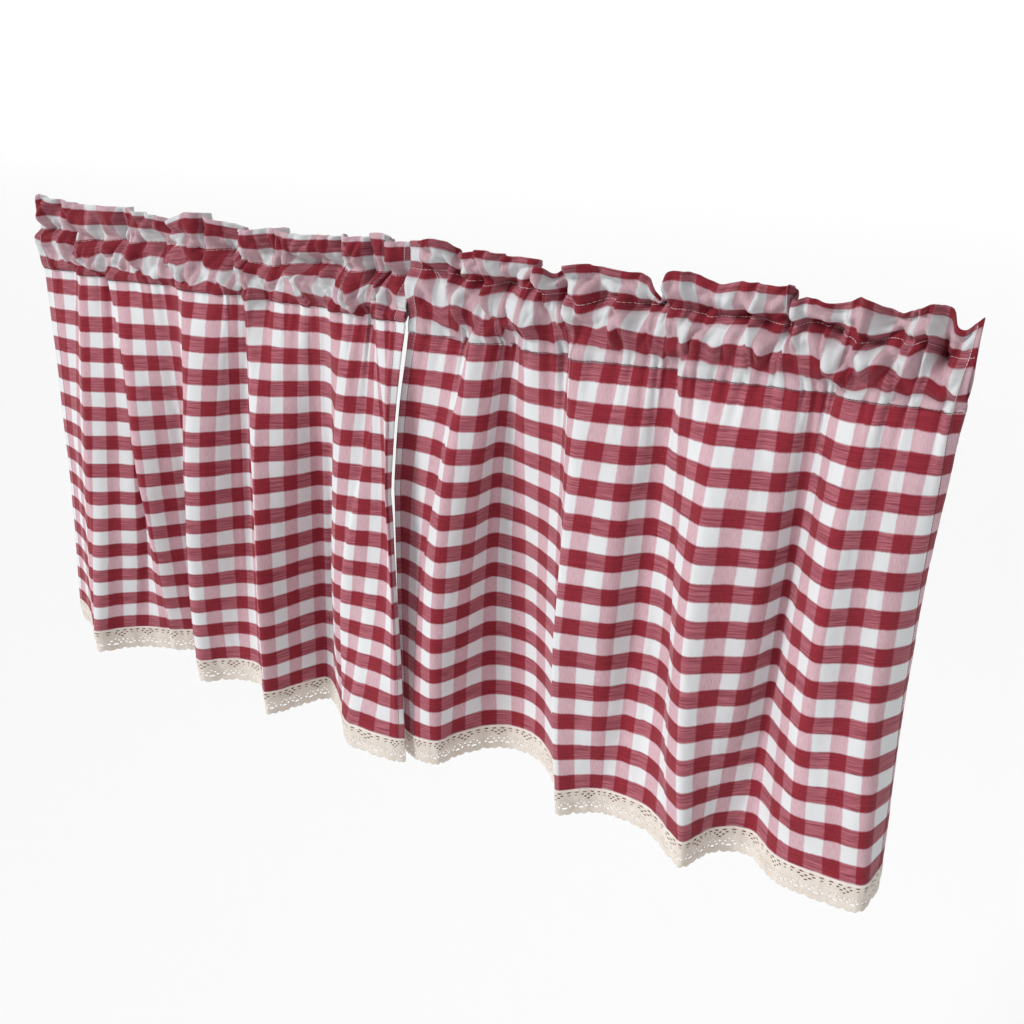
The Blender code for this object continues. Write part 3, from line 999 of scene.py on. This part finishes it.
def cottonMaterial(name, light, deep, streaks):
    material, tree, shader = newMaterial(name)
    u, v = weavePlace(tree)
    yarn = cloudy(tree, u, v, (streaks, streaks), 3, 0.6)
    soft = cloudy(tree, u, v, (streaks * 0.06, streaks * 0.06))
    tone = sums(tree, "ADD", sums(tree, "MULTIPLY", yarn, 0.65), sums(tree, "MULTIPLY", soft, 0.35))
    base = blended(tree, ranged(tree, tone, 0.35, 0.65, 0.0, 1.0), colour(*light), colour(*deep))
    # The sewn foot is paler, and each crochet loop gets painted shade where it turns under
    foot = ranged(tree, v, weaveShift[1] - 0.0022, weaveShift[1] - 0.0014, 0.0, 0.7)
    base = blended(tree, foot, base, colour(242, 228, 226))
    loopU = sums(tree, "SINE", sums(tree, "MULTIPLY", u, 2 * pi / 0.0025))
    loopV = sums(tree, "SINE", sums(tree, "MULTIPLY", v, 2 * pi / 0.0022))
    loops = sums(tree, "MULTIPLY", loopU, loopV)
    # painted shade in the hollows of the loops
    base = blended(tree, ranged(tree, loops, -0.9, 0.2, 0.35, 0.0), base, colour(150, 134, 122))
    yarn = sums(tree, "ADD", yarn, sums(tree, "MULTIPLY", loops, 0.5))
    tree.links.new(base, shader.inputs["Base Color"])
    tree.links.new(ranged(tree, yarn, 0.0, 1.0, 0.8, 0.95), shader.inputs["Roughness"])
    shader.inputs["Sheen Weight"].default_value = 0.15
    giveBump(tree, shader, yarn, 0.6, 0.0004)
    return material


def threadMaterial(name, light, deep):
    material, tree, shader = newMaterial(name)
    place = addNode(tree, "ShaderNodeTexCoord")
    grain = addNode(tree, "ShaderNodeTexNoise")
    tree.links.new(place.outputs["Object"], grain.inputs["Vector"])
    grain.inputs["Scale"].default_value = 900
    base = blended(tree, grain.outputs["Fac"], colour(*light), colour(*deep))
    tree.links.new(base, shader.inputs["Base Color"])
    tree.links.new(ranged(tree, grain.outputs["Fac"], 0.3, 0.7, 0.55, 0.8), shader.inputs["Roughness"])
    giveBump(tree, shader, grain.outputs["Fac"], 0.4, 0.0001)
    return material


bodyGingham = ginghamMaterial("ginghamCloth")
laceCotton = cottonMaterial("laceCotton", (238, 230, 221), (212, 200, 187), 900)
lightThread = threadMaterial("paleThread", (225, 214, 216), (190, 170, 175))
darkThread = threadMaterial("redThread", (120, 40, 52), (80, 22, 32))

for side in ("left", "right"):
    facts = panels[side]
    topWeave = facts["footWeave"] + facts["topCloth"]
    # The headings get a darker copy of the gingham as painted shade, with the back layer's bands painted in
    shadedDouble = ginghamMaterial(f"ginghamDoubledShaded_{side}", gingham["doublePaintedShade"], topWeave)
    for piece, material, node, slotName in (
        (facts["panel"], bodyGingham, f"panel_{side}", "gingham"),
        (facts["heading"], shadedDouble, f"heading_{side}", "gingham_double"),
        (facts["lace"], laceCotton, f"lace_{side}", "cotton_lace"),
    ):
        piece.data.materials.append(material)
        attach(piece, "root")
        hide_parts(node)
    wide = facts["flatWidth"] + 2 * sideHem
for piece, tone in threadPieces:
    piece.data.materials.append(lightThread if tone == "light" else darkThread)
    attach(piece, "root")


print("stage 7: camera, floor and light")

studio = {
    "camera": (0.725, -0.8456, 0.1877),
    "turn": (66.43, 1.32, 33.96),     # degrees
    "lens": 38.39,
    "floor": -3.0,                    # its height, far enough down to take no shadow
    "floorColour": (0.98, 0.98, 0.98, 1),
    "wall": 40,                       # how far behind the valance the floor turns up
    "sun": 2.5,
    "sunSoftness": 20,                # degrees
    "sunWay": (0.42, 0.64, -0.64),
    "backLight": 14,                  # watts
    "world": 0.4,
}

camera = bpy.data.objects.new("camera", bpy.data.cameras.new("camera"))
camera.location = studio["camera"]
camera.rotation_euler = [radians(value) for value in studio["turn"]]
camera.data.lens = studio["lens"]
camera.data.sensor_width = 36
bpy.context.collection.objects.link(camera)
bpy.context.scene.camera = camera

bm = bmesh.new()
bmesh.ops.create_grid(bm, x_segments=8, y_segments=8, size=studio["wall"] * 2)
bmesh.ops.translate(bm, vec=(0, -studio["wall"], studio["floor"]), verts=bm.verts)
rear = [edge for edge in bm.edges if all(vert.co.y > studio["wall"] - 0.01 for vert in edge.verts)]
raised = bmesh.ops.extrude_edge_only(bm, edges=rear)["geom"]
upper = [item for item in raised if isinstance(item, bmesh.types.BMVert)]
bmesh.ops.translate(bm, vec=(0, 0, studio["wall"] / 2), verts=upper)
floorMesh = bpy.data.meshes.new("studioFloor")
bm.to_mesh(floorMesh)
bm.free()
floor = bpy.data.objects.new("studioFloor", floorMesh)
bpy.context.collection.objects.link(floor)
floorPaint, _, floorShader = newMaterial("palePaint")
floorShader.inputs["Base Color"].default_value = studio["floorColour"]
floorShader.inputs["Roughness"].default_value = 1.0
floorMesh.materials.append(floorPaint)


def hangLight(lamp, place, way):
    holder = bpy.data.objects.new(lamp.name, lamp)
    holder.location = place
    holder.rotation_euler = Vector(way).to_track_quat("-Z", "Y").to_euler()
    bpy.context.collection.objects.link(holder)


sun = bpy.data.lights.new("keyLight", "SUN")
sun.energy = studio["sun"]
sun.angle = radians(studio["sunSoftness"])
hangLight(sun, [-3 * value for value in studio["sunWay"]], studio["sunWay"])

soft = bpy.data.lights.new("backLight", "AREA")
soft.shape = "SQUARE"
soft.size = 2.0
soft.energy = studio["backLight"]
hangLight(soft, (0.4, 2.6, 1.8), (-0.4, -2.6, -2.1))

world = bpy.data.worlds.new("studioWorld")
world.use_nodes = True
world.node_tree.nodes["Background"].inputs["Color"].default_value = (1, 1, 1, 1)
world.node_tree.nodes["Background"].inputs["Strength"].default_value = studio["world"]
bpy.context.scene.world = world
bpy.context.scene.view_settings.view_transform = "Standard"
